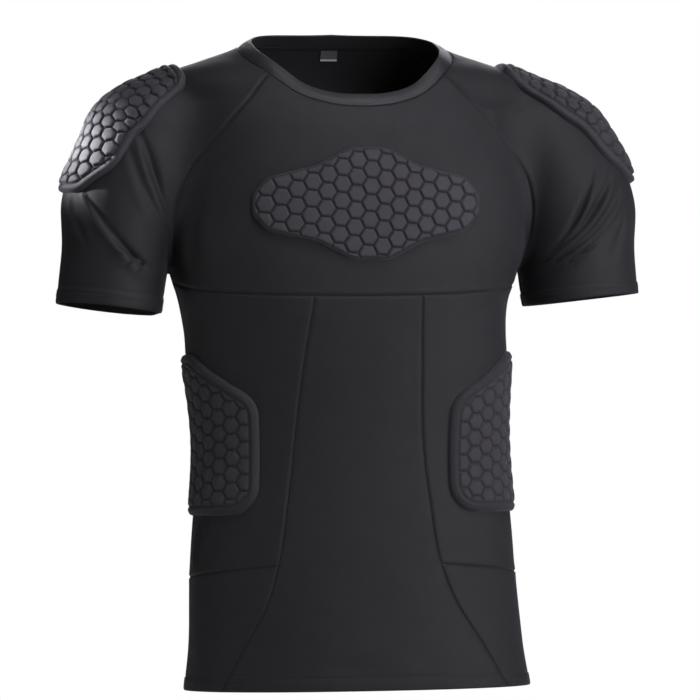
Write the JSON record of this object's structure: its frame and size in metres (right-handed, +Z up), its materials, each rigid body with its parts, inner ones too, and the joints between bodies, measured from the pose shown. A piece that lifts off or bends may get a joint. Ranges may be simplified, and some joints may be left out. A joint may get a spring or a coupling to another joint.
{
  "type": "padded short-sleeve compression shirt",
  "caption": "Close-fitting raglan short-sleeve shirt, filled out as worn, with raised honeycomb pads on chest, shoulders and ribs and a banded round neck.",
  "frame": {"origin": "middle of the shirt at the height where the wearer's shoulders carry it, between the two shoulders", "axes": "+X to the wearer's left, +Y to the wearer's back, +Z up from hem to neck"},
  "size_m": [0.6216, 0.2451, 0.6943],
  "materials": {
    "knit": "matt stretch knit",
    "band_knit": "smooth folded stretch binding",
    "pad_knit": "foam moulded under a satin knit face",
    "label_tape": "plain woven tape"
  },
  "bodies": {
    "root": {"front_chest": "knit", "front_center": "knit", "side_upper_left": "knit", "side_upper_right": "knit", "side_lower_left": "knit", "side_lower_right": "knit", "back": "knit", "sleeve_left": "knit", "sleeve_right": "knit", "neckband": "band_knit", "neck_label": "label_tape", "chest_pad": "pad_knit", "shoulder_pad_left": "pad_knit", "shoulder_pad_right": "pad_knit", "rib_pad_left": "pad_knit", "rib_pad_right": "pad_knit"}
  },
  "joints": []
}
